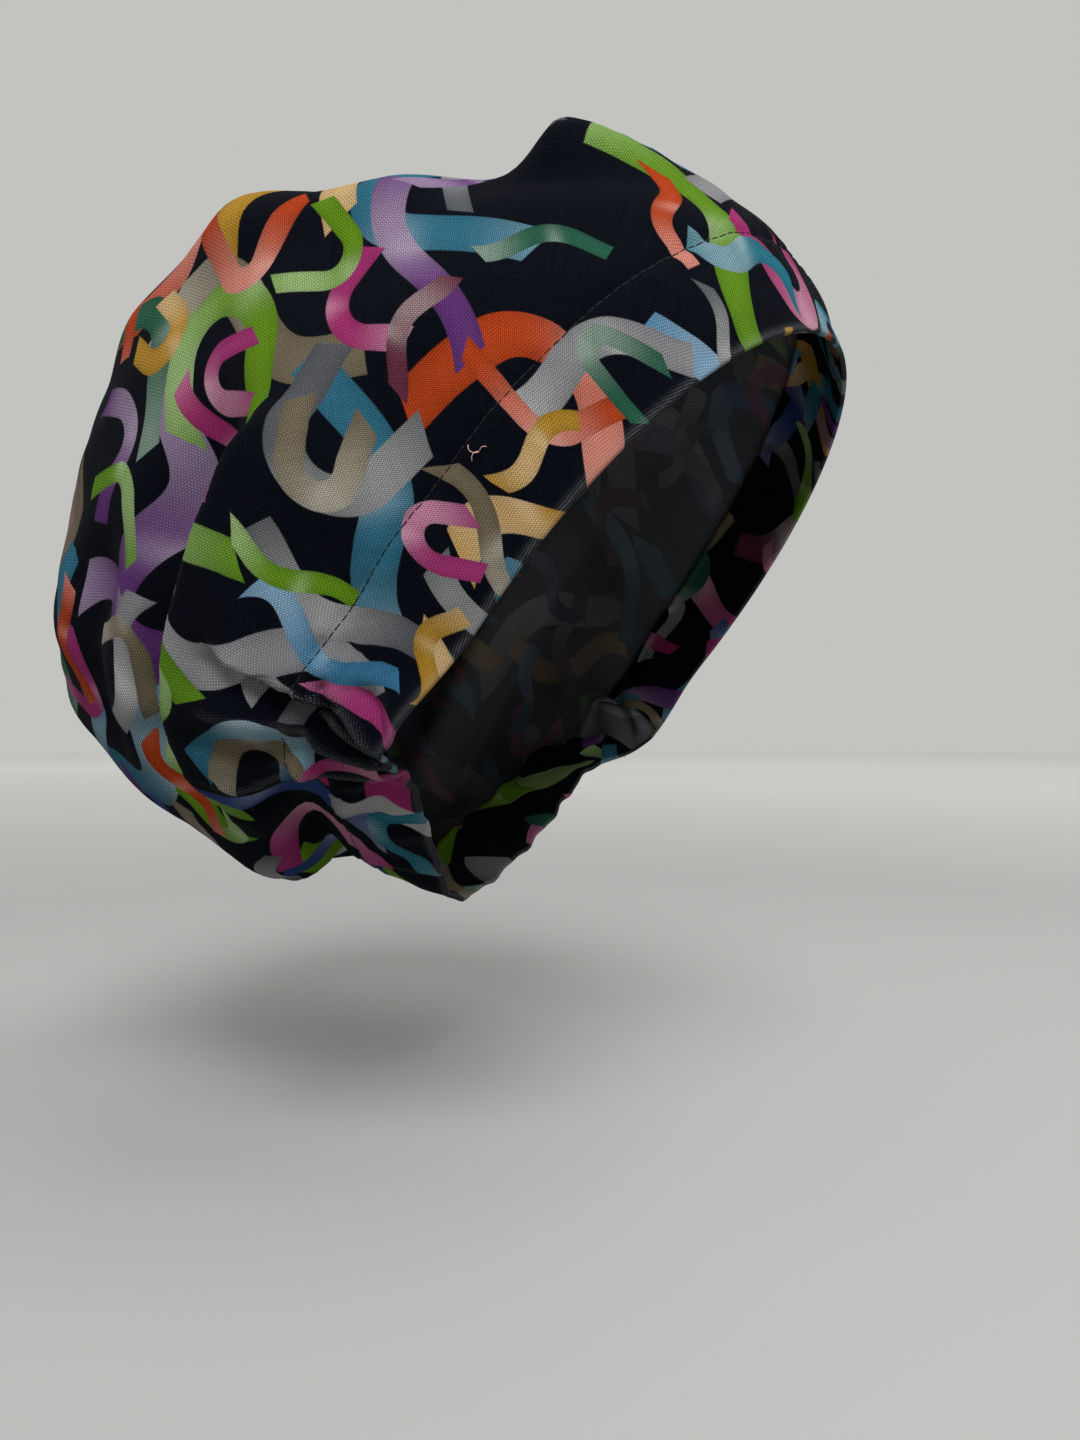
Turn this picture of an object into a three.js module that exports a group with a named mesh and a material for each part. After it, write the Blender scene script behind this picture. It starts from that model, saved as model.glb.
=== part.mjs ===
// A bouffant cloth cap in the form it has when it is worn: millimetres, +Z up, +X the way the wearer
// faces, +Y the wearer's left. The origin is the centre of the head opening, on the middle plane.
import * as THREE from 'three';

// Driving sizes of the bag and its opening
const openingHalfLength = 99;
const openingHalfWidth = 72;
const bagDepth = 182;
const openingTiltDeg = 40;

// Cloth and hems
const clothWall = 1.6;
const facingWall = 1.2;
const casingWall = 1.2;
const seatGap = 0.3;
const hemDepth = 28;
const facingEndDeg = 102;
const casingStartDeg = 122;

// Heights and widths that the fold table's shares follow
const foldHeight = 10;
const foldReach = 20;

// The corner that the edge makes in front of the ear, and the gathers along the nape
const earDeg = 113;
const earSpreadDeg = 11;
const earFlare = 17;
const earFade = 0.10;
const gatherHeight = 1.1;
const gatherCount = 11;
const gatherFade = 0.16;
const gatherInsetDeg = 14;

// How far the nape edge hangs below the plane of the rest of the opening
const napeDrop = 10;
const napeDropStartDeg = 115;
const napeDropFade = 0.13;

// Columns and rows of the cloth grid
const frontColumns = 50;
const napeColumns = 38;
const hemRows = 4;
const bagRows = 16;
const bagRowCrowding = 1.4;

// A table of rows as objects, from the names of its columns.
const table = (names, rows) => rows.map(
  (row) => Object.fromEntries(names.map((name, k) => [name, row[k]])),
);

// Sections of the bag from the opening to its far end: depth as a share of bagDepth, front and nape
// reach as shares of openingHalfLength, half width as a share of openingHalfWidth, and how square each
// half of the section is (2 is an ellipse).
const sections = table(['at', 'depth', 'front', 'nape', 'width', 'frontSquare', 'napeSquare'], [
  [0.00, 0.000, 0.98, -0.94, 1.00, 2.00, 1.55],
  [0.08, 0.085, 1.07, -1.05, 1.08, 2.00, 1.85],
  [0.17, 0.185, 1.12, -1.28, 1.16, 2.05, 2.15],
  [0.30, 0.330, 1.11, -1.40, 1.24, 2.05, 2.30],
  [0.44, 0.500, 0.98, -1.49, 1.24, 2.10, 2.30],
  [0.56, 0.635, 0.85, -1.51, 1.18, 2.10, 2.30],
  [0.68, 0.760, 0.70, -1.41, 1.07, 2.10, 2.25],
  [0.79, 0.865, 0.46, -1.23, 0.90, 2.10, 2.20],
  [0.88, 0.938, 0.22, -0.97, 0.68, 2.05, 2.10],
  [0.95, 0.982, -0.08, -0.70, 0.39, 2.00, 2.00],
  [1.00, 1.000, -0.38, -0.38, 0.00, 2.00, 2.00],
]);

// Folds, each along a curve through three places on the bag. A place is an angle round the opening in
// degrees (0 the front, plus the wearer's right) and a share of the way from the edge to the far end.
// rise is a share of foldHeight, left and right are shares of foldReach to each side of the curve as
// it is seen from outside, and crisp is 2 for a round fold and nearer 1 for a sharp one.
const foldColumns = [
  'name', 'fromDeg', 'fromAt', 'viaDeg', 'viaAt', 'toDeg', 'toAt', 'rise', 'left', 'right', 'crisp',
];
const folds = table(foldColumns, [
  ['right cheek ridge', 74, 0.31, 103, 0.275, 146, 0.13, 0.8, 1.3, 0.5, 2.0],
  ['right cheek valley', 74, 0.42, 108, 0.365, 149, 0.21, -1.3, 0.65, 0.55, 2.0],
  ['right second ridge', 95, 0.40, 116, 0.405, 136, 0.305, 0.5, 0.45, 0.45, 1.8],
  ['right second valley', 94, 0.50, 120, 0.485, 142, 0.38, -0.6, 0.6, 0.45, 2.0],
  ['right ear pleat', 110, 0.02, 107, 0.15, 104, 0.30, 0.4, 0.3, 0.8, 1.6],
  ['right ear crease', 114, 0.03, 112, 0.15, 112, 0.26, -0.35, 0.3, 0.4, 1.8],
  ['right gather ridge', 116, 0.02, 120, 0.12, 125, 0.22, 0.4, 0.35, 0.3, 2.0],
  ['right gather valley', 118, 0.02, 127, 0.10, 135, 0.19, -0.35, 0.3, 0.3, 2.0],
  ['right low gather ridge', 119, 0.02, 134, 0.08, 146, 0.14, 0.4, 0.3, 0.35, 2.0],
  ['right shoulder ridge', 62, 0.72, 51, 0.54, 36, 0.38, 0.7, 1.1, 0.6, 2.0],
  ['crown valley', 36, 0.76, 16, 0.53, 2, 0.45, -1.5, 0.9, 1.5, 2.0],
  ['front peak', 36, 0.31, 18, 0.405, -4, 0.47, 1.25, 0.45, 1.0, 1.8],
  ['back shoulder', 88, 0.74, 55, 0.74, 12, 0.74, 0.55, 1.4, 1.4, 2.0],
  ['back dent', 155, 0.75, 128, 0.72, 100, 0.76, -0.4, 0.65, 0.65, 2.0],
  ['low back dent', 165, 0.50, 142, 0.52, 126, 0.62, -0.3, 0.7, 0.7, 2.0],
  ['right nape waist', 122, 0.10, 150, 0.10, 195, 0.10, -1.1, 0.45, 0.45, 2.0],
  ['left nape waist', -122, 0.10, -150, 0.095, -188, 0.09, -0.8, 0.4, 0.4, 2.0],
  ['left cheek ridge', -78, 0.33, -106, 0.31, -148, 0.16, 0.8, 0.5, 1.3, 2.0],
  ['left cheek valley', -76, 0.44, -111, 0.39, -150, 0.24, -1.1, 0.55, 0.65, 2.0],
  ['left ear pleat', -110, 0.02, -107, 0.15, -105, 0.29, 0.4, 0.8, 0.3, 1.6],
  ['left gather ridge', -116, 0.02, -121, 0.12, -126, 0.22, 0.4, 0.3, 0.35, 2.0],
  ['left gather valley', -118, 0.02, -129, 0.09, -138, 0.17, -0.35, 0.3, 0.3, 2.0],
  ['left shoulder ridge', -58, 0.66, -46, 0.47, -24, 0.34, 0.5, 0.6, 1.0, 2.0],
]);
const foldSteps = 18;
const foldEndShare = 0.28;

const radians = (degrees) => degrees * Math.PI / 180;
const tilt = radians(openingTiltDeg);
const inwards = new THREE.Vector3(-Math.cos(tilt), 0, Math.sin(tilt));
const frontwards = new THREE.Vector3(Math.sin(tilt), 0, Math.cos(tilt));
const rightwards = new THREE.Vector3(0, -1, 0);
const smooth = (share) => {
  const x = Math.min(1, Math.max(0, share));
  return x * x * (3 - 2 * x);
};

// One column of the section table at t, on a smooth curve through its rows.
function sectionValue(key, t) {
  const last = sections.length - 1;
  let row = 0;
  while (row < last - 1 && t >= sections[row + 1].at) row += 1;
  const slope = (index) => {
    const before = sections[Math.max(0, index - 1)];
    const after = sections[Math.min(last, index + 1)];
    return (after[key] - before[key]) / (after.at - before.at);
  };
  const start = sections[row];
  const end = sections[row + 1];
  const span = end.at - start.at;
  const x = (t - start.at) / span;
  const curve = (2 * x ** 3 - 3 * x ** 2 + 1) * start[key] + (3 * x ** 2 - 2 * x ** 3) * end[key];
  return curve + span * ((x ** 3 - 2 * x ** 2 + x) * slope(row) + (x ** 3 - x ** 2) * slope(row + 1));
}

// A place on the smooth bag, before its folds.
function bagPoint(angle, t) {
  const reachFront = sectionValue('front', t) * openingHalfLength;
  const reachNape = sectionValue('nape', t) * openingHalfLength;
  const halfWidth = sectionValue('width', t) * openingHalfWidth;
  const cos = Math.cos(angle);
  const sin = Math.sin(angle);
  const square = sectionValue(cos >= 0 ? 'frontSquare' : 'napeSquare', t);
  const round = (Math.abs(cos) ** square + Math.abs(sin) ** square) ** (-1 / square);
  const turn = Math.abs(Math.atan2(sin, cos));
  const ear = Math.exp(-(((turn - radians(earDeg)) / radians(earSpreadDeg)) ** 2)) * Math.exp(-t / earFade);
  const stretch = round * (1 + ear * earFlare / openingHalfWidth);
  const pastEar = smooth((turn - radians(napeDropStartDeg)) / (Math.PI - radians(napeDropStartDeg)));
  const drop = napeDrop * pastEar * Math.exp(-t / napeDropFade);
  const along = (reachFront + reachNape) / 2 + (reachFront - reachNape) / 2 * stretch * cos;
  return new THREE.Vector3()
    .addScaledVector(inwards, sectionValue('depth', t) * bagDepth - drop)
    .addScaledVector(frontwards, along)
    .addScaledVector(rightwards, halfWidth * stretch * sin);
}

// The outward normal of a surface given by a function of angle and t.
function normalOf(surface, angle, t) {
  const step = 1e-3;
  const middle = Math.min(1 - step, Math.max(step, t));
  const around = surface(angle + step, middle).sub(surface(angle - step, middle));
  const deeper = surface(angle, middle + step).sub(surface(angle, middle - step));
  return deeper.cross(around).normalize();
}

// A value on the smooth curve from one number via another to a third.
function curveThrough(from, via, to, s) {
  const bend = 2 * via - (from + to) / 2;
  return (1 - s) ** 2 * from + 2 * s * (1 - s) * bend + s ** 2 * to;
}

// Each fold's curve on the bag, as points with their normals.
const foldCurves = folds.map((fold) => {
  const points = [];
  for (let step = 0; step <= foldSteps; step += 1) {
    const s = step / foldSteps;
    const angle = radians(curveThrough(fold.fromDeg, fold.viaDeg, fold.toDeg, s));
    const t = curveThrough(fold.fromAt, fold.viaAt, fold.toAt, s);
    points.push({ place: bagPoint(angle, t), normal: normalOf(bagPoint, angle, t) });
  }
  return { fold, points };
});

// How far one fold lifts the cloth at a place.
function foldRise({ fold, points }, place) {
  let nearest = Infinity;
  let side = 0;
  let along = 0;
  for (let step = 0; step < foldSteps; step += 1) {
    const start = points[step].place;
    const run = points[step + 1].place.clone().sub(start);
    const offset = place.clone().sub(start);
    const share = Math.min(1, Math.max(0, offset.dot(run) / run.lengthSq()));
    const away = offset.addScaledVector(run, -share);
    if (away.length() < nearest) {
      nearest = away.length();
      side = away.dot(points[step].normal.clone().cross(run));
      along = (step + share) / foldSteps;
    }
  }
  const reach = (side > 0 ? fold.left : fold.right) * foldReach;
  const ends = smooth(Math.min(along, 1 - along) / foldEndShare);
  return fold.rise * foldHeight * Math.exp(-((nearest / reach) ** fold.crisp)) * ends;
}

// The small gathers that the elastic draws along the nape edge.
function gatherRise(angle, t) {
  const fromBack = 180 - Math.abs(Math.atan2(Math.sin(angle), Math.cos(angle))) * 180 / Math.PI;
  const napeHalfDeg = 180 - casingStartDeg;
  const inside = smooth((napeHalfDeg - fromBack) / gatherInsetDeg);
  const wave = Math.cos(Math.PI * gatherCount * fromBack / napeHalfDeg);
  return gatherHeight * wave * inside * Math.exp(-((t / gatherFade) ** 2));
}

// A place on the outside of the cloth, with its folds.
function clothPoint(angle, t) {
  const place = bagPoint(angle, t);
  let rise = gatherRise(angle, t);
  for (const curve of foldCurves) rise += foldRise(curve, place);
  return place.addScaledVector(normalOf(bagPoint, angle, t), rise);
}

// The share t at which the smooth bag is a given length of cloth away from its edge.
function shareAtLength(angle, length) {
  const step = 0.002;
  let t = 0;
  let gone = 0;
  let place = bagPoint(angle, 0);
  while (t < 1) {
    const next = bagPoint(angle, t + step);
    const run = next.distanceTo(place);
    if (gone + run >= length) return t + step * (length - gone) / run;
    gone += run;
    place = next;
    t += step;
  }
  return 1;
}

// The columns of the cloth grid, as angles from the left end of the front facing round to the same place.
function spread(fromDeg, toDeg, count) {
  return Array.from({ length: count }, (_, k) => radians(fromDeg + (toDeg - fromDeg) * k / count));
}
const earColumns = 5;
const columns = [
  ...spread(-facingEndDeg, facingEndDeg, frontColumns),
  ...spread(facingEndDeg, casingStartDeg, earColumns),
  ...spread(casingStartDeg, 360 - casingStartDeg, napeColumns),
  ...spread(360 - casingStartDeg, 360 - facingEndDeg, earColumns),
];

// Each column's places: hemRows steps over the hem's depth, then on to the last row before the end.
const grid = columns.map((angle) => {
  const hemShare = shareAtLength(angle, hemDepth);
  const column = [];
  for (let row = 0; row < hemRows + bagRows; row += 1) {
    const t = row <= hemRows
      ? shareAtLength(angle, hemDepth * row / hemRows)
      : hemShare + (1 - hemShare) * ((row - hemRows) / bagRows) ** bagRowCrowding;
    column.push({ place: clothPoint(angle, t), normal: normalOf(clothPoint, angle, t) });
  }
  return column;
});

// A solid layer of cloth over part of the grid, from one depth below the outside to another. A closed
// layer runs all the way round and ends in one point; an open one is a strip with four edges.
function clothLayer(firstColumn, columnCount, rowCount, topDepth, underDepth, closed) {
  const positions = [];
  const vertex = (place, normal, depth) => {
    positions.push(...place.clone().addScaledVector(normal, -depth).toArray());
    return positions.length / 3 - 1;
  };
  const lines = closed ? columnCount : columnCount + 1;
  const top = [];
  const under = [];
  for (let line = 0; line < lines; line += 1) {
    const column = grid[(firstColumn + line) % grid.length].slice(0, rowCount);
    top.push(column.map(({ place, normal }) => vertex(place, normal, topDepth)));
    under.push(column.map(({ place, normal }) => vertex(place, normal, underDepth)));
  }
  const faces = [];
  const quad = (a, b, c, d) => faces.push(a, b, c, a, c, d);
  for (let line = 0; line < columnCount; line += 1) {
    const next = (line + 1) % lines;
    for (let row = 0; row + 1 < rowCount; row += 1) {
      quad(top[line][row], top[line][row + 1], top[next][row + 1], top[next][row]);
      quad(under[line][row], under[next][row], under[next][row + 1], under[line][row + 1]);
    }
    quad(top[line][0], top[next][0], under[next][0], under[line][0]);
  }
  const lastRow = rowCount - 1;
  if (closed) {
    const end = clothPoint(0, 1);
    const topEnd = vertex(end, inwards, topDepth);
    const underEnd = vertex(end, inwards, underDepth);
    for (let line = 0; line < columnCount; line += 1) {
      const next = (line + 1) % lines;
      faces.push(top[line][lastRow], topEnd, top[next][lastRow]);
      faces.push(under[line][lastRow], under[next][lastRow], underEnd);
    }
  } else {
    for (let line = 0; line < columnCount; line += 1) {
      quad(top[line][lastRow], under[line][lastRow], under[line + 1][lastRow], top[line + 1][lastRow]);
    }
    for (let row = 0; row < lastRow; row += 1) {
      quad(top[0][row], under[0][row], under[0][row + 1], top[0][row + 1]);
      const [topSide, underSide] = [top[columnCount], under[columnCount]];
      quad(topSide[row], topSide[row + 1], underSide[row + 1], underSide[row]);
    }
  }
  const geometry = new THREE.BufferGeometry();
  geometry.setAttribute('position', new THREE.Float32BufferAttribute(positions, 3));
  geometry.setIndex(faces);
  geometry.computeVertexNormals();
  return geometry;
}

function clothMesh(name, geometry, color) {
  const cotton = new THREE.MeshStandardMaterial({ color, roughness: 0.9, metalness: 0 });
  const mesh = new THREE.Mesh(geometry, cotton);
  mesh.name = name;
  return mesh;
}

const crown = clothLayer(0, columns.length, hemRows + bagRows, 0, clothWall, true);
const hemTop = clothWall + seatGap;
const frontFacing = clothLayer(0, frontColumns, hemRows + 1, hemTop, hemTop + facingWall, false);
const napeStart = frontColumns + earColumns;
const napeCasing = clothLayer(napeStart, napeColumns, hemRows + 1, hemTop, hemTop + casingWall, false);

const cap = new THREE.Group();
cap.add(clothMesh('crown', crown, 0x1a1c28));
cap.add(clothMesh('front_facing', frontFacing, 0x23242c));
cap.add(clothMesh('nape_casing', napeCasing, 0x23242c));

export default cap;
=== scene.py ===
# %% [markdown]
# # A printed cotton scrub cap, in the form it has when it is worn
# The cap is one soft bag of printed cotton with a turned-in front hem and a gathered nape. The frame
# holds its solids at their real size. This lesson rebuilds each of them as fine cloth, dresses it with
# a print, a weave and its sewing, and lights it like a small product photograph.

# %% Load the frame
import math

import bpy
import numpy as np
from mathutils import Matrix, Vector


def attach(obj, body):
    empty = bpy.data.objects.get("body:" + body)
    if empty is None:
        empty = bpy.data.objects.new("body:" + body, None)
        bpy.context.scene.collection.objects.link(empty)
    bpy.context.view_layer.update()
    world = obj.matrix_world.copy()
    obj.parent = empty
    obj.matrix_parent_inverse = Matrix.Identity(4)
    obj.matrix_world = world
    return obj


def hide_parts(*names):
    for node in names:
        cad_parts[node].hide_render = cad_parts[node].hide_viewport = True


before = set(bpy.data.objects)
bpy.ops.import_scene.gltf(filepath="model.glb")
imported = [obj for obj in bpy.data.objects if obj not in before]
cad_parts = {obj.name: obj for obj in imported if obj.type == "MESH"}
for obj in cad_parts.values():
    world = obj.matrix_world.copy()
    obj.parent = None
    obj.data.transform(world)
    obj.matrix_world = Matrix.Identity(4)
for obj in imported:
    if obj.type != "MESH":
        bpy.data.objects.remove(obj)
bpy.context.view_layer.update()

print("frame:", sorted(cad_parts))

# %% [markdown]
# ## The camera
# The picture was taken from close by with a wide lens, level with the ear, 30 degrees round from a
# side view. A small shift puts the horizon where it belongs without tilting the camera.

# %% Camera
CAMERA_PLACE = (0.1325, -0.277, -0.029)
CAMERA_TURN_DEG = 30
CAMERA_LENS = 26.25
IMAGE_HEIGHT_PX = 1440
HORIZON_BELOW_MIDDLE_PX = 15

camera_data = bpy.data.cameras.new("camera")
camera_data.lens = CAMERA_LENS
camera_data.sensor_width = 36
camera_data.shift_y = HORIZON_BELOW_MIDDLE_PX / IMAGE_HEIGHT_PX
camera_data.clip_start = 0.01
camera = bpy.data.objects.new("camera", camera_data)
camera.location = CAMERA_PLACE
camera.rotation_euler = (math.radians(90), 0, math.radians(CAMERA_TURN_DEG))
bpy.context.collection.objects.link(camera)
bpy.context.scene.camera = camera
print("camera:", CAMERA_LENS, "mm at", CAMERA_PLACE)

# %% [markdown]
# ## Building materials from nodes
# Every look here is worked out by nodes. A few short helpers keep the long sums readable: each adds one
# node, connects its inputs and gives its output.

# %% Node helpers
def link(name, data):
    piece = bpy.data.objects.new(name, data)
    bpy.context.collection.objects.link(piece)
    return piece


class Sums:
    """Adds nodes to one tree."""

    def __init__(self, tree):
        self.tree = tree

    def node(self, kind, inputs, **settings):
        """One node. Each input is a number, a colour or another node's output."""
        node = self.tree.nodes.new(kind)
        for key, value in settings.items():
            setattr(node, key, value)
        for key, value in inputs.items():
            if isinstance(value, bpy.types.NodeSocket):
                self.tree.links.new(value, node.inputs[key])
            else:
                node.inputs[key].default_value = value
        return node

    def math(self, operation, *values, clamp=False):
        node = self.node("ShaderNodeMath", dict(enumerate(values)), operation=operation, use_clamp=clamp)
        return node.outputs[0]

    def plus(self, a, b):
        return self.math("ADD", a, b)

    def minus(self, a, b):
        return self.math("SUBTRACT", a, b)

    def times(self, a, b):
        return self.math("MULTIPLY", a, b)

    def scaled(self, value, factor, offset, clamp=False):
        """The value times a factor, plus an offset."""
        return self.math("MULTIPLY_ADD", value, factor, offset, clamp=clamp)

    def blend(self, share, first, second):
        """Between two numbers."""
        return self.scaled(self.minus(second, first), share, first)

    def tint(self, share, first, second, kind="MIX"):
        """Between two colours."""
        inputs = {0: share, 6: first, 7: second}
        return self.node("ShaderNodeMix", inputs, data_type="RGBA", blend_type=kind).outputs[2]

    def vector(self, operation, *values):
        return self.node("ShaderNodeVectorMath", dict(enumerate(values)), operation=operation).outputs[0]

    def parts(self, vector):
        return self.node("ShaderNodeSeparateXYZ", {0: vector}).outputs

    def joined(self, x, y, z=0.0):
        return self.node("ShaderNodeCombineXYZ", {0: x, 1: y, 2: z}).outputs[0]

    def turned(self, vector, angle):
        """A vector turned in the plane of the cloth."""
        inputs = {"Vector": vector, "Angle": angle}
        return self.node("ShaderNodeVectorRotate", inputs, rotation_type="Z_AXIS").outputs[0]

    def noise(self, vector, scale, detail, output="Fac"):
        inputs = {"Vector": vector, "Scale": scale, "Detail": detail}
        return self.node("ShaderNodeTexNoise", inputs).outputs[output]


def new_material(name, **settings):
    """A material, the sums of its tree and its shader with these constant settings."""
    material = bpy.data.materials.new(name)
    material.use_nodes = True
    shader = material.node_tree.nodes["Principled BSDF"]
    for key, value in settings.items():
        shader.inputs[key.replace("_", " ")].default_value = value
    return material, Sums(material.node_tree), shader


def new_group(name, takes, gives):
    """A node group with these sockets, as its sums and what it is given."""
    group = bpy.data.node_groups.new(name, "ShaderNodeTree")
    for in_out, sockets in (("INPUT", takes), ("OUTPUT", gives)):
        for socket, kind in sockets.items():
            group.interface.new_socket(name=socket, in_out=in_out, socket_type="NodeSocket" + kind)
    return Sums(group), group.nodes.new("NodeGroupInput").outputs


def close_group(sums, results):
    sums.node("NodeGroupOutput", results)
    print(sums.tree.name, "has", len(sums.tree.nodes), "nodes")
    return sums.tree


# %% [markdown]
# ## Floor and light
# A pale floor fades into an evenly pale surrounding. The floor's colour is painted light: darker near the
# middle, where the lamps light it, and paler further out, where only the surrounding lights it, so that it
# looks evenly lit and meets the surrounding at the horizon. Large area lights make the soft light of a small
# studio: a key from above the camera's right, a top light for the crown's folds, and a weaker one on the
# left side. The plain Standard view keeps the print's colours as they are mixed.

# %% Floor and surrounding
FLOOR_Z = -0.1535
FLOOR_RADIUS = 8.0
PALE = (0.62, 0.62, 0.60)
SURROUND_STRENGTH = 0.88
FLOOR_CORNERS = 96
# share of the floor's radius, colour; painted darker where the lamps light the floor and paler where only
# the surrounding does
FLOOR_PAINTED_LIGHT_COLOURS = [(0.08, (0.30, 0.30, 0.295, 1)), (0.50, (0.93, 0.93, 0.91, 1))]

bpy.context.scene.view_settings.view_transform = "Standard"
floor_turns = [2 * math.pi * k / FLOOR_CORNERS for k in range(FLOOR_CORNERS)]
floor_mesh = bpy.data.meshes.new("floor")
floor_rim = [(FLOOR_RADIUS * math.cos(a), FLOOR_RADIUS * math.sin(a), FLOOR_Z) for a in floor_turns]
floor_mesh.from_pydata(floor_rim, [], [list(range(FLOOR_CORNERS))])
floor = link("floor", floor_mesh)
floor_material, floor_sums, floor_shader = new_material("pale_floor", Roughness=0.8, Specular_IOR_Level=0.1)
floor_place = floor_sums.node("ShaderNodeTexCoord", {}).outputs["Object"]
floor_far = floor_sums.node("ShaderNodeVectorMath", {0: floor_place}, operation="LENGTH").outputs["Value"]
floor_share = floor_sums.math("DIVIDE", floor_far, FLOOR_RADIUS)
# painted light: the floor's colour changes with distance from the middle, standing in for how far the lamps'
# light reaches
floor_painted_light = floor_sums.node("ShaderNodeValToRGB", {0: floor_share})
for stop, (share, colour) in zip(floor_painted_light.color_ramp.elements, FLOOR_PAINTED_LIGHT_COLOURS):
    stop.position = share
    stop.color = colour
floor_sums.tree.links.new(floor_painted_light.outputs[0], floor_shader.inputs["Base Color"])
floor_mesh.materials.append(floor_material)

world = bpy.data.worlds.new("pale_surrounding")
world.use_nodes = True
background = world.node_tree.nodes["Background"]
background.inputs["Color"].default_value = (*PALE, 1)
background.inputs["Strength"].default_value = SURROUND_STRENGTH
bpy.context.scene.world = world
print("floor:", FLOOR_RADIUS, "m in radius, at height", FLOOR_Z)

# %% Lights
LIGHTS = [
    # name, place, width, power in watts
    ("key_light", (1.00, -1.45, 1.75), 1.2, 84),
    ("top_light", (0.95, 0.10, 2.00), 1.1, 20),
    ("left_light", (-0.50, 2.20, 2.00), 1.4, 12),
]


def area_light(name, place, width, power):
    light = bpy.data.lights.new(name, "AREA")
    light.size = width
    light.energy = power
    lamp = link(name, light)
    lamp.location = place
    lamp.rotation_euler = (-Vector(place)).to_track_quat("-Z", "Y").to_euler()


for row in LIGHTS:
    area_light(*row)
print("lights:", [row[0] for row in LIGHTS])

# %% [markdown]
# ## The bag's form
# Worn cloth of this kind is a smooth bag with folds laid over it. First a table of sections, from the
# head opening to the bag's far end, gives the smooth bag. A place on it is an angle round the opening
# (0 in front, positive towards the wearer's right) and a share from 0 at the edge to 1 at the far end.
# The sizes are those of the solids, in metres.

# %% Smooth bag
OPENING_HALF_LENGTH = 0.099
OPENING_HALF_WIDTH = 0.072
BAG_DEPTH = 0.182
OPENING_TILT = math.radians(40)
EAR_DEG, EAR_SPREAD_DEG, EAR_FLARE, EAR_FADE = 113, 11, 0.017, 0.10
NAPE_DROP, NAPE_DROP_START_DEG, NAPE_DROP_FADE = 0.010, 115, 0.13
HEM_DEPTH = 0.028

INWARDS = np.array([-math.cos(OPENING_TILT), 0, math.sin(OPENING_TILT)])
FRONTWARDS = np.array([math.sin(OPENING_TILT), 0, math.cos(OPENING_TILT)])
RIGHTWARDS = np.array([0.0, -1.0, 0.0])

# at, depth, front reach, nape reach, half width, squareness of the front half, of the nape half
SECTIONS = np.array([
    [0.00, 0.000, 0.98, -0.94, 1.00, 2.00, 1.55],
    [0.08, 0.085, 1.07, -1.05, 1.08, 2.00, 1.85],
    [0.17, 0.185, 1.12, -1.28, 1.16, 2.05, 2.15],
    [0.30, 0.330, 1.11, -1.40, 1.24, 2.05, 2.30],
    [0.44, 0.500, 0.98, -1.49, 1.24, 2.10, 2.30],
    [0.56, 0.635, 0.85, -1.51, 1.18, 2.10, 2.30],
    [0.68, 0.760, 0.70, -1.41, 1.07, 2.10, 2.25],
    [0.79, 0.865, 0.46, -1.23, 0.90, 2.10, 2.20],
    [0.88, 0.938, 0.22, -0.97, 0.68, 2.05, 2.10],
    [0.95, 0.982, -0.08, -0.70, 0.39, 2.00, 2.00],
    [1.00, 1.000, -0.38, -0.38, 0.00, 2.00, 2.00],
])


def smooth(x):
    x = np.clip(x, 0, 1)
    return x * x * (3 - 2 * x)


def bell(x, reach):
    """1 at x = 0, dying out over the reach on both sides."""
    return np.exp(-((x / reach) ** 2))


def unit(vectors):
    return vectors / np.linalg.norm(vectors, axis=-1, keepdims=True)


def from_front_deg(angle):
    return np.degrees(np.abs(np.arctan2(np.sin(angle), np.cos(angle))))


def section_at(t):
    """The section table's columns at t, on a smooth curve through its rows."""
    at, values = SECTIONS[:, 0], SECTIONS[:, 1:]
    slope = np.zeros_like(values)
    slope[1:-1] = (values[2:] - values[:-2]) / (at[2:] - at[:-2])[:, None]
    slope[0] = (values[1] - values[0]) / (at[1] - at[0])
    slope[-1] = (values[-1] - values[-2]) / (at[-1] - at[-2])
    row = np.clip(np.searchsorted(at, t, side="right") - 1, 0, len(at) - 2)
    span = at[row + 1] - at[row]
    x = ((t - at[row]) / span)[..., None]
    start, end = values[row], values[row + 1]
    curve = (2 * x**3 - 3 * x**2 + 1) * start + (3 * x**2 - 2 * x**3) * end
    bend = (x**3 - 2 * x**2 + x) * slope[row] + (x**3 - x**2) * slope[row + 1]
    return np.moveaxis(curve + span[..., None] * bend, -1, 0)


def bag_point(angle, t):
    """Places on the smooth bag, before its folds."""
    angle, t = np.broadcast_arrays(np.asarray(angle, float), np.asarray(t, float))
    depth, front, nape, width, front_square, nape_square = section_at(t)
    cos, sin = np.cos(angle), np.sin(angle)
    square = np.where(cos >= 0, front_square, nape_square)
    reach = (np.abs(cos) ** square + np.abs(sin) ** square) ** (-1 / square)
    turn = from_front_deg(angle)
    ear = bell(turn - EAR_DEG, EAR_SPREAD_DEG) * np.exp(-t / EAR_FADE)
    stretch = reach * (1 + ear * EAR_FLARE / OPENING_HALF_WIDTH)
    past_ear = smooth((turn - NAPE_DROP_START_DEG) / (180 - NAPE_DROP_START_DEG))
    drop = NAPE_DROP * past_ear * np.exp(-t / NAPE_DROP_FADE)
    along = ((front + nape) / 2 + (front - nape) / 2 * stretch * cos) * OPENING_HALF_LENGTH
    side = width * OPENING_HALF_WIDTH * stretch * sin
    inner = depth * BAG_DEPTH - drop
    return inner[..., None] * INWARDS + along[..., None] * FRONTWARDS + side[..., None] * RIGHTWARDS


def bag_normal(angle, t):
    step = 1e-3
    middle = np.clip(t, step, 1 - step)
    around = bag_point(angle + step, middle) - bag_point(angle - step, middle)
    deeper = bag_point(angle, middle + step) - bag_point(angle, middle - step)
    return unit(np.cross(deeper, around))


print("bag ends at", bag_point(0.0, 1.0).round(3))

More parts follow.
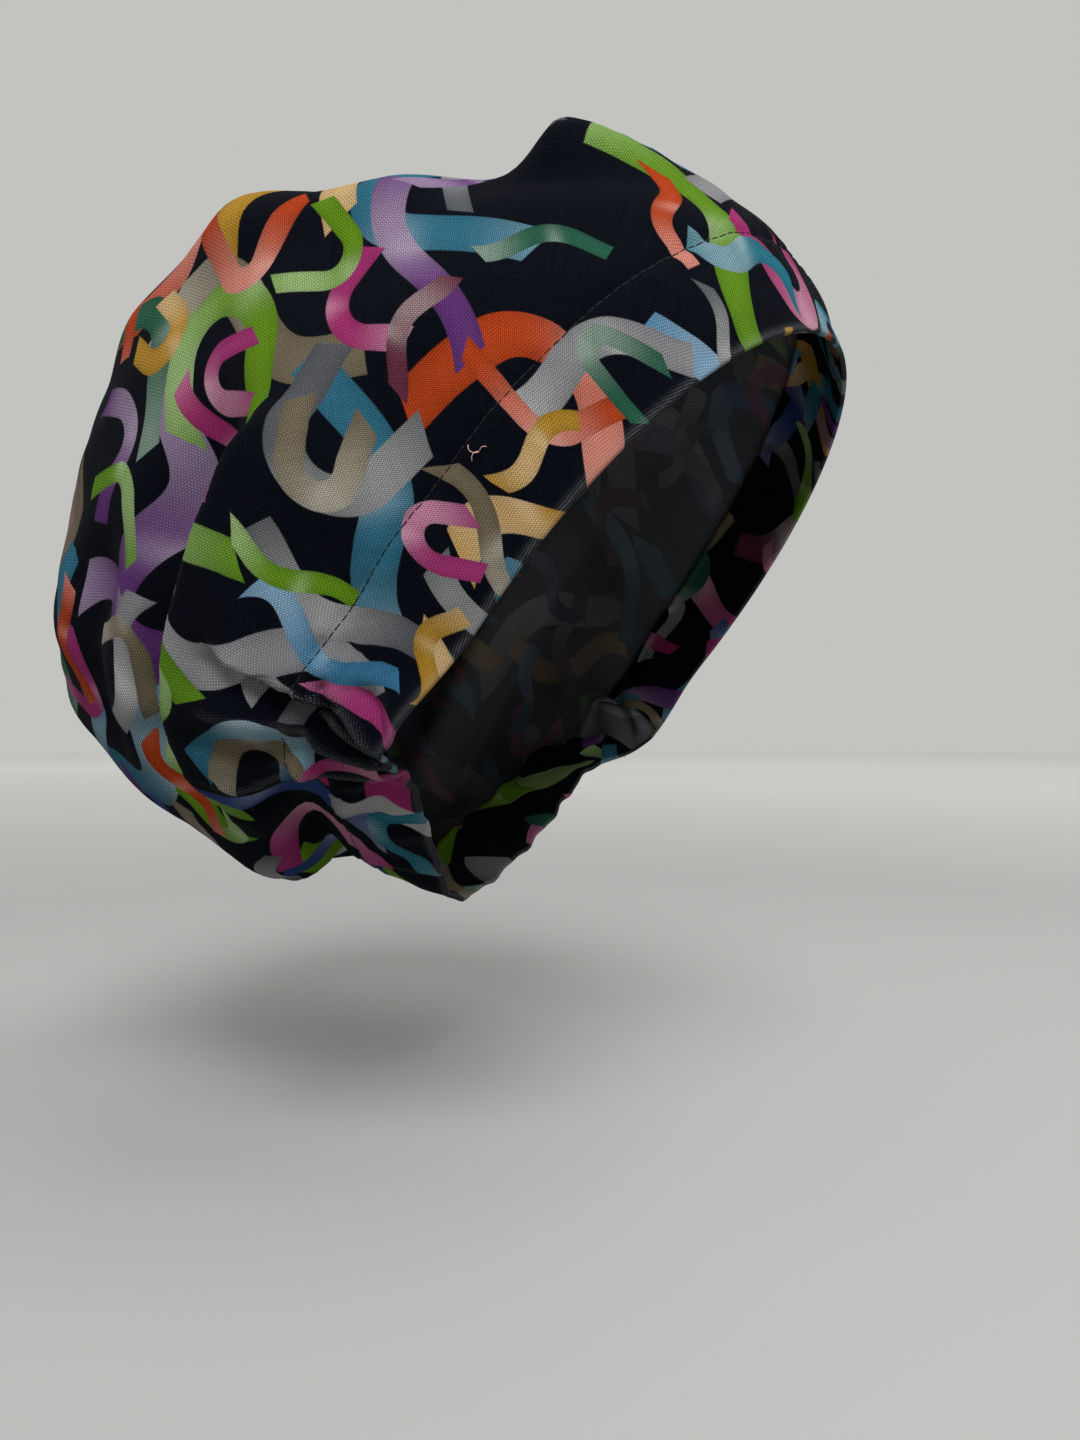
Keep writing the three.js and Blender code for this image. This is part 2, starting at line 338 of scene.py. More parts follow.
# %% [markdown]
# ## The folds
# Each fold runs along a curve through three places on the bag. It lifts or sinks the cloth near the
# curve, and its lean pushes the crest sideways, so that a pleat can hang over its own crease. The big
# folds are those of the solids. The finer ones, at the ear where hem and elastic meet, are only here.

# %% Fold table
FOLD_HEIGHT = 0.010
FOLD_REACH = 0.020
# name, from (deg, share), via, to, rise, reach to the left, to the right, crispness, lean to the left;
# degrees are positive on the wearer's right
FOLDS = [
    ("cheek ridge", 74, 0.31, 103, 0.275, 146, 0.13, 0.8, 1.3, 0.5, 2.0, -0.8),
    ("cheek valley", 74, 0.42, 108, 0.365, 149, 0.21, -1.3, 0.55, 0.65, 2.0, 0.0),
    ("second ridge", 93, 0.40, 112, 0.385, 133, 0.335, 0.55, 0.55, 0.4, 1.8, -0.15),
    ("second valley", 94, 0.50, 120, 0.485, 142, 0.38, -0.6, 0.45, 0.6, 2.0, 0.0),
    ("ear pleat", 113, 0.065, 106.5, 0.152, 106.3, 0.235, 0.36, 0.13, 0.9, 1.4, 0.55),
    ("ear crease", 115, 0.065, 109.7, 0.152, 109.2, 0.235, -0.34, 0.22, 0.14, 1.6, 0.0),
    ("stitch crease", 105.5, 0.112, 109.2, 0.090, 111.6, 0.066, -0.30, 0.06, 0.07, 1.6, 0.0),
    ("pinch hollow", 107.5, 0.075, 110.6, 0.036, 115.4, 0.0, -0.22, 0.12, 0.07, 1.8, 0.0),
    ("pinch crest", 107.8, 0.108, 112.2, 0.055, 116.4, -0.02, 0.34, 0.13, 0.12, 2.6, -0.14),
    ("pinch crease", 110.4, 0.102, 114.4, 0.050, 116.8, -0.01, -0.34, 0.06, 0.06, 1.5, 0.0),
    ("inner roll", 112.0, 0.096, 116.0, 0.052, 117.2, -0.02, 0.16, 0.09, 0.09, 2.4, 0.0),
    ("inner crease", 113.2, 0.100, 117.9, 0.056, 117.8, -0.01, -0.28, 0.06, 0.06, 1.5, 0.0),
    ("lip", 114.2, 0.104, 120.0, 0.062, 118.6, -0.02, 0.30, 0.11, 0.09, 2.4, -0.10),
    ("lip crease", 115.4, 0.112, 122.3, 0.068, 119.6, -0.01, -0.28, 0.06, 0.06, 1.5, 0.0),
    ("outer roll", 116.4, 0.122, 125.2, 0.076, 121.0, -0.03, 0.34, 0.14, 0.12, 2.4, -0.12),
    ("outer crease", 119, 0.125, 129.5, 0.080, 124.5, -0.02, -0.28, 0.12, 0.12, 1.7, 0.0),
    ("first gather", 117.5, 0.09, 114.5, 0.15, 115.5, 0.21, 0.20, 0.25, 0.22, 1.8, 0.0),
    ("first gather valley", 119, 0.085, 119, 0.14, 120, 0.20, -0.28, 0.15, 0.15, 1.8, 0.0),
    ("second gather", 121, 0.085, 124, 0.13, 127, 0.19, 0.28, 0.20, 0.20, 1.8, 0.0),
    ("second gather valley", 123, 0.08, 130, 0.12, 135, 0.17, -0.28, 0.16, 0.18, 1.8, 0.0),
    ("low gather", 126, 0.05, 138, 0.085, 146, 0.14, 0.34, 0.24, 0.26, 2.0, 0.0),
    ("low gather valley", 126, 0.03, 143, 0.055, 156, 0.10, -0.20, 0.20, 0.24, 2.0, 0.0),
    ("low back roll", 148, 0.21, 161, 0.20, 174, 0.185, 0.26, 0.45, 0.45, 2.0, 0.0),
    ("middle nape hollow", 170, 0.16, 183, 0.18, 198, 0.17, -0.50, 0.60, 0.60, 2.0, 0.0),
    ("shoulder ridge", 62, 0.72, 51, 0.54, 36, 0.38, 0.7, 1.1, 0.6, 2.0, 0.0),
    ("crown valley", 36, 0.76, 16, 0.53, 2, 0.45, -1.5, 0.9, 1.5, 2.0, 0.0),
    ("front peak", 36, 0.31, 18, 0.405, -4, 0.47, 1.25, 0.45, 1.0, 1.8, 0.0),
    ("back shoulder", 88, 0.74, 55, 0.74, 12, 0.74, 0.55, 1.4, 1.4, 2.0, 0.0),
    ("back dent", 155, 0.75, 128, 0.72, 100, 0.76, -0.4, 0.65, 0.65, 2.0, 0.0),
    ("low back dent", 165, 0.50, 142, 0.52, 126, 0.62, -0.3, 0.7, 0.7, 2.0, 0.0),
    ("nape waist", 125, 0.105, 160, 0.13, 195, 0.13, -1.25, 0.45, 0.45, 2.0, 0.0),
    ("nape waist", -122, 0.10, -146, 0.10, -172, 0.10, -0.6, 0.4, 0.4, 2.0, 0.0),
    ("cheek ridge", -78, 0.33, -106, 0.31, -148, 0.16, 0.8, 0.5, 1.3, 2.0, 0.8),
    ("cheek valley", -76, 0.44, -111, 0.39, -150, 0.24, -1.1, 0.65, 0.55, 2.0, 0.0),
    ("ear pleat", -111, 0.07, -106, 0.15, -105, 0.27, 0.30, 0.9, 0.14, 1.4, -0.30),
    ("ear crease", -114, 0.06, -109, 0.15, -108, 0.26, -0.30, 0.16, 0.25, 1.6, 0.0),
    ("pinch crest", -107, 0.11, -112, 0.06, -116, 0.005, 0.22, 0.14, 0.14, 1.6, -0.12),
    ("pinch crease", -104, 0.115, -110, 0.055, -112, 0.0, -0.28, 0.12, 0.12, 1.6, 0.0),
    ("first gather", -118, 0.06, -117, 0.14, -120, 0.22, 0.34, 0.25, 0.25, 1.8, 0.0),
    ("gather valley", -119, 0.04, -126, 0.10, -131, 0.18, -0.28, 0.22, 0.22, 1.8, 0.0),
    ("second gather", -121, 0.03, -133, 0.08, -143, 0.15, 0.34, 0.25, 0.27, 2.0, 0.0),
    ("shoulder ridge", -58, 0.66, -46, 0.47, -24, 0.34, 0.5, 0.6, 1.0, 2.0, 0.0),
]
FOLD_STEPS = 18
FOLD_END_SHARE = 0.28


def curve_through(start, via, end, s):
    bend = 2 * via - (start + end) / 2
    return (1 - s) ** 2 * start + 2 * s * (1 - s) * bend + s**2 * end


def fold_shift(fold, place, normal):
    """How one fold moves the cloth at each place."""
    _, deg0, t0, deg1, t1, deg2, t2, rise, left, right, crisp, lean = fold
    s = np.linspace(0, 1, FOLD_STEPS + 1)
    angle = np.radians(curve_through(deg0, deg1, deg2, s))
    share = curve_through(t0, t1, t2, s)
    points, normals = bag_point(angle, share), bag_normal(angle, share)
    nearest = np.full(place.shape[:-1], np.inf)
    side = np.zeros_like(nearest)
    along = np.zeros_like(nearest)
    leftwards = np.zeros_like(place)
    for k in range(FOLD_STEPS):
        run = points[k + 1] - points[k]
        offset = place - points[k]
        part = np.clip(offset @ run / (run @ run), 0, 1)
        away = offset - part[..., None] * run
        far = np.linalg.norm(away, axis=-1)
        left_of_run = np.cross(normals[k], unit(run))
        closer = far < nearest
        nearest = np.where(closer, far, nearest)
        side = np.where(closer, away @ left_of_run, side)
        along = np.where(closer, (k + part) / FOLD_STEPS, along)
        leftwards[closer] = left_of_run
    reach = np.where(side > 0, left, right) * FOLD_REACH
    ends = smooth(np.minimum(along, 1 - along) / FOLD_END_SHARE)
    amount = np.exp(-((nearest / reach) ** crisp)) * ends * FOLD_HEIGHT
    return amount[..., None] * (rise * normal + lean * leftwards)


print("folds:", len(FOLDS))

# %% [markdown]
# ## Small gathers, the sewn hem and what the hand left
# Elastic in the nape hem draws the cloth into small uneven waves that die out away from the edge. The
# topstitch pulls a shallow groove along the hem, with slight puckers beside it. One seam closes the bag
# at the back, up from the nape. Over all of it lie soft undulations, because worn cotton is never quite
# smooth.

# %% Gathers, hem groove and undulations
GATHERS, FINE_GATHERS = 11, 19
GATHER_HEIGHT, GATHER_FADE, GATHER_INSET_DEG = 0.0007, 0.16, 14
CASING_START_DEG = 122
EDGE_SHIFT_FADE = 0.09
# degrees from the front, shift to the back and shift down, both in mm
EDGE_SHIFTS = np.array([
    [112, 0.0, 0.0],
    [118, 1.0, 0.0],
    [124, 3.5, 0.0],
    [130, 4.5, 0.0],
    [138, 3.0, 0.0],
    [148, 1.5, 0.3],
    [158, 1.5, 1.0],
    [166, 3.0, 2.4],
    [174, 4.0, 3.6],
    [180, 4.0, 4.0],
])
GROOVE_DEPTH, GROOVE_WIDTH = 0.0009, 0.0016
PUCKER_HEIGHT, PUCKER_LENGTH, PUCKER_REACH = 0.00022, 0.0068, 0.006
SEAM_DEPTH, SEAM_REACH_DEG, SEAM_END_SHARE = 0.0008, 1.6, 0.80
SEAM_PUCKER, SEAM_FADE = 0.021, 0.08
UNDULATIONS = [
    # height, wavelength, direction, phase
    (0.00045, 0.047, (0.8, 0.3, 0.5), 0.4),
    (0.00040, 0.036, (-0.3, 0.6, 0.7), 2.1),
    (0.00030, 0.023, (0.5, -0.7, 0.4), 4.0),
    (0.00022, 0.017, (0.1, 0.9, -0.5), 1.3),
]


def from_back_deg(angle):
    return 180 - from_front_deg(angle)


def gather_rise(angle, t):
    back = from_back_deg(angle)
    nape_half = 180 - CASING_START_DEG
    inside = smooth((nape_half - back) / GATHER_INSET_DEG)
    wave = np.cos(math.pi * GATHERS * back / nape_half + 0.9 * np.sin(3 * angle))
    fine = 0.5 * np.cos(math.pi * FINE_GATHERS * back / nape_half + 2.0 * np.sin(2 * angle) + 6 * t)
    return GATHER_HEIGHT * (wave + fine) * inside * bell(t, GATHER_FADE)


def undulation(place):
    rise = np.zeros(place.shape[:-1])
    for height, length, direction, phase in UNDULATIONS:
        wave = place @ (np.array(direction) / np.linalg.norm(direction)) * 2 * math.pi / length
        rise += height * np.sin(wave + phase + 1.5 * np.sin(0.37 * wave + 2 * phase))
    return rise


def hem_rise(angle, length):
    """The groove that the topstitch pulls, and the puckers that it leaves on both sides."""
    off = length - HEM_DEPTH
    around = angle * (OPENING_HALF_LENGTH + OPENING_HALF_WIDTH) / 2
    wave = np.sin(2 * math.pi * around / PUCKER_LENGTH + 1.7 * np.sin(around * 90))
    return PUCKER_HEIGHT * wave * bell(off, PUCKER_REACH) - GROOVE_DEPTH * bell(off, GROOVE_WIDTH)


def seam_rise(angle, t):
    """The shallow valley along the seam at the back, with its small puckers."""
    pucker = 1 + 0.25 * np.sin(2 * math.pi * t / SEAM_PUCKER)
    across = bell(from_back_deg(angle), SEAM_REACH_DEG)
    return -SEAM_DEPTH * pucker * across * smooth((SEAM_END_SHARE - t) / SEAM_FADE)


def edge_shift(angle, t):
    """Where the gathered nape holds the edge away from the smooth bag's own."""
    turn = from_front_deg(angle)
    deg, back, down = EDGE_SHIFTS.T
    fade = bell(t, EDGE_SHIFT_FADE) / 1000
    shift = np.zeros((*turn.shape, 3))
    shift[..., 0] = -fade * np.interp(turn, deg, back)
    shift[..., 2] = -fade * np.interp(turn, deg, down)
    return shift


def cloth_point(angle, t, length=None):
    place, normal = bag_point(angle, t), bag_normal(angle, t)
    rise = gather_rise(angle, t) + undulation(place) * smooth(t / 0.04) + seam_rise(angle, t)
    if length is not None:
        rise = rise + hem_rise(angle, length)
    moved = place + rise[..., None] * normal + edge_shift(angle, t)
    for fold in FOLDS:
        moved = moved + fold_shift(fold, place, normal)
    return moved


print("front edge at", cloth_point(np.zeros(1), np.zeros(1)).round(3))

# %% [markdown]
# ## A fine grid of cloth
# The cloth is a grid of columns round the opening and rows from the edge to the far end. The first
# rows follow the hem at even steps of real length, so that the stitching can sit on a row.

# %% Cloth grid
COLUMNS = 336
HEM_ROWS = 32
BAG_ROWS = 105
BAG_ROW_CROWDING = 1.16
BAG_END_CROWDING = 1.16
# degrees, how much closer the columns lie there, reach in degrees
EAR_CROWDINGS = [(116, 3.6, 11), (-116, 1.3, 15)]


def column_angles():
    """Angles from the middle of the nape round to it again, closer together at the ears."""
    deg = np.linspace(-180, 180, 3601)
    weight = np.ones_like(deg)
    for ear_deg, closer, reach_deg in EAR_CROWDINGS:
        weight += closer * bell(deg - ear_deg, reach_deg)
    gone = np.concatenate([[0], np.cumsum((weight[1:] + weight[:-1]) / 2)])
    return np.radians(np.interp(np.linspace(0, gone[-1], COLUMNS, endpoint=False), gone, deg))


def lengths_from_edge(angle):
    """How much cloth lies between the edge and each share, on the smooth bag."""
    t = np.linspace(0, 1, 601)
    points = bag_point(angle[:, None], t[None])
    run = np.linalg.norm(np.diff(points, axis=1), axis=-1)
    return t, np.concatenate([np.zeros((len(angle), 1)), np.cumsum(run, 1)], 1)


column_angle = column_angles()
shares, gone = lengths_from_edge(column_angle)
row_length = [np.full(COLUMNS, HEM_DEPTH * k / HEM_ROWS) for k in range(HEM_ROWS + 1)]
row_share = [np.array([np.interp(row[0], g, shares) for g in gone]) for row in row_length]
for k in range(1, BAG_ROWS):
    part = 1 - (1 - (k / BAG_ROWS) ** BAG_ROW_CROWDING) ** BAG_END_CROWDING
    row_share.append(row_share[HEM_ROWS] + (1 - row_share[HEM_ROWS]) * part)
    row_length.append(np.array([np.interp(s, shares, g) for s, g in zip(row_share[-1], gone)]))
grid_t, grid_length = np.stack(row_share, 1), np.stack(row_length, 1)
grid_angle = np.repeat(column_angle[:, None], grid_t.shape[1], 1)
grid_place = cloth_point(grid_angle, grid_t, grid_length)
far_end = cloth_point(np.zeros(1), np.ones(1))[0]
around = np.roll(grid_place, -1, 0) - np.roll(grid_place, 1, 0)
grid_normal = unit(np.cross(np.gradient(grid_place, axis=1), around))
SEAM_ROWS = int(np.searchsorted(grid_t[0], SEAM_END_SHARE))
print("grid:", grid_place.shape, "lowest", grid_place.reshape(-1, 3).min(0).round(3))

# %% [markdown]
# ## Laying the cloth flat
# The print was made on flat cloth, so it must bend and slant with every fold. A coarse copy of the grid
# is cut open along the seam at the back and unwrapped with the least stretch, almost as the cloth was
# cut. The fine grid takes its flat places from that layout by smooth curves, in millimetres.

# %% Unwrap
LAYOUT_STEP = 4
PRINT_SHIFT_MM = (-44, 6)


def unwrapped(place, tip):
    """Flat places of a grid of points and its tip, from Blender's own unwrapping."""
    lines, rows = place.shape[:2]
    index = np.arange(lines * rows).reshape(lines, rows)
    index[-1, SEAM_ROWS // LAYOUT_STEP :] = index[0, SEAM_ROWS // LAYOUT_STEP :]
    quads = np.stack([index[:-1, :-1], index[:-1, 1:], index[1:, 1:], index[1:, :-1]], -1).reshape(-1, 4)
    fan = np.stack([index[:-1, -1], np.full(lines - 1, lines * rows), index[1:, -1]], -1)
    mesh = bpy.data.meshes.new("flat_layout")
    points = np.concatenate([place.reshape(-1, 3), tip[None]])
    mesh.from_pydata(points.tolist(), [], quads.tolist() + fan.tolist())
    mesh.uv_layers.new(name="flat")
    piece = link("flat_layout", mesh)
    bpy.context.view_layer.objects.active = piece
    piece.select_set(True)
    bpy.ops.object.mode_set(mode="EDIT")
    bpy.ops.mesh.select_all(action="SELECT")
    bpy.ops.uv.unwrap(method="MINIMUM_STRETCH", margin=0.0)
    bpy.ops.object.mode_set(mode="OBJECT")
    flat = np.zeros(len(mesh.loops) * 2)
    mesh.uv_layers["flat"].data.foreach_get("uv", flat)
    vertex = np.zeros(len(mesh.loops), dtype=np.int32)
    mesh.loops.foreach_get("vertex_index", vertex)
    layout = np.zeros((lines * rows + 1, 2))
    layout[vertex] = flat.reshape(-1, 2)
    bpy.data.objects.remove(piece)
    bpy.data.meshes.remove(mesh)
    return layout[index], layout[-1]


def finer(values, axis, step):
    """A smooth curve through every value along one axis, read at step times as many places."""
    values = np.moveaxis(values, axis, 0)
    before = 2 * values[:1] - values[1:2]
    after = 2 * values[-1:] - values[-2:-1]
    v = np.concatenate([before, values, after])
    at = np.arange((len(values) - 1) * step + 1) / step
    k = np.minimum(at.astype(int), len(values) - 2)
    x = (at - k).reshape(-1, *[1] * (values.ndim - 1))
    a, b, c, d = v[k], v[k + 1], v[k + 2], v[k + 3]
    square = a - 2.5 * b + 2 * c - d / 2
    cube = 1.5 * (b - c) + (d - a) / 2
    return np.moveaxis(b + x * (c - a) / 2 + x**2 * square + x**3 * cube, 0, axis)


open_grid = np.concatenate([grid_place, grid_place[:1]])
coarse = open_grid[::LAYOUT_STEP, ::LAYOUT_STEP]
layout, tip_flat = unwrapped(coarse, far_end)


def edge_lengths(points):
    lines = np.linalg.norm(np.diff(points, axis=0), axis=-1).sum()
    return lines + np.linalg.norm(np.diff(points, axis=1), axis=-1).sum()


real_size = 1000 * edge_lengths(coarse) / edge_lengths(layout)
print_shift = np.array(PRINT_SHIFT_MM) - real_size * layout.reshape(-1, 2).mean(0)
layout = real_size * layout + print_shift
tip_flat = real_size * tip_flat + print_shift
flat_grid = finer(finer(layout, 0, LAYOUT_STEP), 1, LAYOUT_STEP)
print("flat size in mm:", np.ptp(flat_grid.reshape(-1, 2), axis=0).round(0))

# %% [markdown]
# ## Turning a grid into cloth
# Real cloth has two faces and a cut edge, so each piece is a closed thin shell: the upper skin, the
# under skin and the rims that join them. The print's right side and its paler reverse are told apart
# by their material.

# %% Shell builder
def shell_mesh(name, top, under, flat, closed, end=None, end_flat=None, top_side=0, under_side=1):
    """A thin closed mesh from two grids of points. A closed one runs round and meets in one end."""
    lines, rows = top.shape[:2]
    columns = lines if closed else lines - 1
    base = lines * rows
    faces, spots, sides = [], [], []

    def add(corners, side):
        """Faces from corners given as (line, row, skin), where line may run one past the last."""
        corners = [np.broadcast_arrays(*corner) for corner in corners]
        index = [(line % lines) * rows + row + skin * base for line, row, skin in corners]
        spot = [line * rows + row for line, row, _ in corners]
        faces.extend(np.stack(index, -1).reshape(-1, len(corners)).tolist())
        spots.extend(np.stack(spot, -1).reshape(-1, len(corners)).tolist())
        sides.extend([side] * (len(faces) - len(sides)))

    line, row = np.arange(columns)[:, None], np.arange(rows - 1)[None]
    add([(line, row, 0), (line, row + 1, 0), (line + 1, row + 1, 0), (line + 1, row, 0)], top_side)
    add([(line, row, 1), (line + 1, row, 1), (line + 1, row + 1, 1), (line, row + 1, 1)], under_side)
    line = np.arange(columns)
    add([(line, 0, 0), (line + 1, 0, 0), (line + 1, 0, 1), (line, 0, 1)], top_side)
    last = rows - 1
    verts = [top.reshape(-1, 3), under.reshape(-1, 3)]
    if not closed:
        add([(line, last, 0), (line, last, 1), (line + 1, last, 1), (line + 1, last, 0)], top_side)
        row = np.arange(rows - 1)
        add([(0, row, 0), (0, row, 1), (0, row + 1, 1), (0, row + 1, 0)], top_side)
        add([(columns, row, 0), (columns, row + 1, 0), (columns, row + 1, 1), (columns, row, 1)], top_side)
    flat_places = flat.reshape(-1, 2)
    if closed:
        verts.append(end)
        tip_spot = len(flat_places)
        flat_places = np.concatenate([flat_places, end_flat[None]])
        for k in range(columns):
            here, after = k * rows + last, ((k + 1) % lines) * rows + last
            faces += [[here, 2 * base, after], [here + base, after + base, 2 * base + 1]]
            spots += [[here, tip_spot, here + rows], [here, here + rows, tip_spot]]
            sides += [top_side, under_side]
    mesh = bpy.data.meshes.new(name)
    mesh.from_pydata(np.concatenate(verts).tolist(), [], faces)
    mesh.polygons.foreach_set("use_smooth", [True] * len(faces))
    mesh.polygons.foreach_set("material_index", sides)
    places = flat_places[[spot for face in spots for spot in face]]
    mesh.uv_layers.new(name="flat").data.foreach_set("uv", places.ravel())
    mesh.update()
    return mesh


# %% [markdown]
# ## Crown
# The crown's cloth turns round the edge in a small roll before it goes up inside as the hem, so the
# edge looks soft and folded, and the print runs on round it. Use rubs the dye off first at that roll
# and along the crests of tight folds, so each point keeps a number that says how worn it is.

# %% Crown
CLOTH = 0.0005
ROLL_RADIUS = 0.0008
ROLL_STEPS = 6
HEM_TOP = 2 * ROLL_RADIUS - CLOTH
HEM_UNDER = 2 * ROLL_RADIUS

edge_out = unit(grid_place[:, 0] - grid_place[:, 1])
roll_turns = np.linspace(math.pi, 0, ROLL_STEPS, endpoint=False)
flat_out = unit(flat_grid[:, 0] - flat_grid[:, 1])


def roll_rows(radius):
    """Rows of the turned edge, from inside the hem round to the outside."""
    turns = roll_turns[None, :, None]
    centre = grid_place[:, :1] - grid_normal[:, :1] * ROLL_RADIUS
    return centre + radius * (np.cos(turns) * grid_normal[:, :1] + np.sin(turns) * edge_out[:, None])


def beyond_edge(lengths):
    """Flat places past the edge, at these lengths of cloth in metres."""
    return flat_grid[:, :1] + 1000 * np.asarray(lengths)[None, :, None] * flat_out[:, None]


top_skin = np.concatenate([roll_rows(ROLL_RADIUS), grid_place], 1)
under_skin = np.concatenate([roll_rows(ROLL_RADIUS - CLOTH), grid_place - grid_normal * CLOTH], 1)
crown_flat = np.concatenate([beyond_edge(ROLL_RADIUS * roll_turns), flat_grid], 1)
end_points = np.stack([far_end, far_end - INWARDS * CLOTH])
crown_mesh = shell_mesh("crown_cloth", top_skin, under_skin, crown_flat, True, end_points, tip_flat)
crown = link("crown_cloth", crown_mesh)
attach(crown, "root")
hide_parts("crown")
print("crown faces:", len(crown.data.polygons))

# %% Where the crown's cloth is rubbed
CREST_SPAN = 2
WEAR_STARTS_AT_RADIUS, FULL_WEAR_AT_RADIUS = 0.012, 0.003
EDGE_WEAR_FADE = 0.0012
CREST_WEAR = 0.8
UNWORN_LAST_ROWS = 20

# how tightly the cloth bends outwards round the opening, as one over the radius
before, after = np.roll(grid_place, CREST_SPAN, 0), np.roll(grid_place, -CREST_SPAN, 0)
crest_height = ((grid_place - (before + after) / 2) * grid_normal).sum(-1)
bend = 8 * crest_height / ((after - before) ** 2).sum(-1)
bend_from, bend_to = 1 / WEAR_STARTS_AT_RADIUS, 1 / FULL_WEAR_AT_RADIUS
crest_wear = np.clip((bend - bend_from) / (bend_to - bend_from), 0, 1) * CREST_WEAR
crest_wear[:, -UNWORN_LAST_ROWS:] = 0
skin_wear = np.maximum(crest_wear, bell(grid_length, EDGE_WEAR_FADE))
top_wear = np.concatenate([np.tile(np.sin(roll_turns), (COLUMNS, 1)), skin_wear], 1)
wear = np.zeros(len(crown.data.vertices), dtype=np.float32)
wear[: top_wear.size] = top_wear.ravel()
crown.data.attributes.new("wear", "FLOAT", "POINT").data.foreach_set("value", wear)
print("share of the crown's skin with wear: %.2f" % (top_wear > 0.2).mean())

# %% [markdown]
# ## Front facing and nape casing
# The hem inside the front edge and the casing inside the nape are the same cloth, turned in, so they
# show the print's right side. Both stop where the solids stop, near the ears.

# %% Hem strips
FACING_END_DEG = 110
CASING_FIRST_DEG = 117


def hem_strip(name, lines):
    """A strip along these columns, which may run past the last column round to the first."""
    here = lines % COLUMNS
    place, normal = grid_place[here, : HEM_ROWS + 1], grid_normal[here, : HEM_ROWS + 1]
    lengths = math.pi * ROLL_RADIUS + np.arange(HEM_ROWS + 1) * HEM_DEPTH / HEM_ROWS
    flat = beyond_edge(lengths)[here]
    mesh = shell_mesh(name, place - normal * HEM_TOP, place - normal * HEM_UNDER, flat, False,
                      top_side=1, under_side=0)
    return link(name, mesh)


turn_deg = np.degrees(column_angle)
front_lines = np.nonzero(np.abs(turn_deg) <= FACING_END_DEG)[0]
nape_lines = np.nonzero(np.abs(turn_deg) >= CASING_FIRST_DEG)[0]
nape_lines = np.sort(np.where(turn_deg[nape_lines] < 0, nape_lines + COLUMNS, nape_lines))
facing = hem_strip("front_facing_cloth", front_lines)
casing = hem_strip("nape_casing_cloth", nape_lines)
for piece, node in ((facing, "front_facing"), (casing, "nape_casing")):
    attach(piece, "root")
    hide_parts(node)
print("hem strips:", len(front_lines), "and", len(nape_lines), "columns")

# %% [markdown]
# ## Thread
# Sewing thread is a fine tube. Each stitch rises out of the cloth, lies on it for about two
# millimetres and dives in again, so it is a short tube whose ends sink below the surface.

# %% Thread builder
THREAD_SIDES = 6


def thread_tube(points, radius, ups):
    """Rings of points round a path, with faces, for one piece of thread."""
    run = unit(np.gradient(points, axis=0))
    side = unit(np.cross(run, ups))
    up = np.cross(side, run)
    turns = 2 * math.pi * np.arange(THREAD_SIDES) / THREAD_SIDES
    ring = np.cos(turns)[None, :, None] * side[:, None] + np.sin(turns)[None, :, None] * up[:, None]
    verts = (points[:, None] + radius * ring).reshape(-1, 3)
    faces = []
    for k in range(len(points) - 1):
        for s in range(THREAD_SIDES):
            after = (s + 1) % THREAD_SIDES
            a, b = k * THREAD_SIDES, (k + 1) * THREAD_SIDES
            faces.append([a + s, a + after, b + after, b + s])
    faces.append(list(range(THREAD_SIDES))[::-1])
    faces.append([len(verts) - THREAD_SIDES + s for s in range(THREAD_SIDES)])
    return verts, faces


def thread_piece(name, tubes):
    verts, faces = [], []
    for tube_verts, tube_faces in tubes:
        start = len(verts)
        verts += tube_verts.tolist()
        faces += [[start + v for v in face] for face in tube_faces]
    mesh = bpy.data.meshes.new(name)
    mesh.from_pydata(verts, [], faces)
    mesh.polygons.foreach_set("use_smooth", [True] * len(faces))
    piece = link(name, mesh)
    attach(piece, "root")
    return piece


# %% Topstitch along the front hem, the nape casing and the seam at the back
STITCH, STITCH_GAP = 0.0026, 0.00012
THREAD_RADIUS = 0.00018
STITCH_POINTS = 7


def stitches_along(points, normals):
    """Stitches one after another along a path on the cloth."""
    gone = np.concatenate([[0], np.cumsum(np.linalg.norm(np.diff(points, axis=0), axis=-1))])
    tubes = []
    start = STITCH_GAP
    while start + STITCH < gone[-1]:
        at = np.linspace(start, start + STITCH, STITCH_POINTS)
        path = np.stack([np.interp(at, gone, points[:, k]) for k in range(3)], 1)
        ups = np.stack([np.interp(at, gone, normals[:, k]) for k in range(3)], 1)
        lift = np.sin(np.linspace(0, math.pi, STITCH_POINTS)) ** 0.35
        path = path + ups * (THREAD_RADIUS * (1.5 * lift - 1.2))[:, None]
        tubes.append(thread_tube(path, THREAD_RADIUS, ups))
        start += STITCH + STITCH_GAP
    return tubes


seam = grid_place[:, HEM_ROWS]
seam_normal = grid_normal[:, HEM_ROWS]
front_tubes = stitches_along(seam[front_lines], seam_normal[front_lines])
nape_tubes = stitches_along(seam[nape_lines % COLUMNS], seam_normal[nape_lines % COLUMNS])
back_tubes = stitches_along(grid_place[0, HEM_ROWS:SEAM_ROWS], grid_normal[0, HEM_ROWS:SEAM_ROWS])
topstitch = thread_piece("topstitch", front_tubes + nape_tubes + back_tubes)
print("stitches:", len(front_tubes), "in front,", len(nape_tubes), "at the nape,", len(back_tubes), "behind")

# %% [markdown]
# ## Knots and a loose thread
# At each ear the seam ends are tied off with a small knot that shows two short tails, right where the
# folds of the pinch run together. A pale end of thread that nobody trimmed sticks to the topstitch.

# %% Knots at the ears
KNOT_TURNS_DEG = (117.4, -117.0)
KNOT_SIZE = 0.00065
KNOT_SHARE = 0.012
TAIL_LENGTH = 0.0042


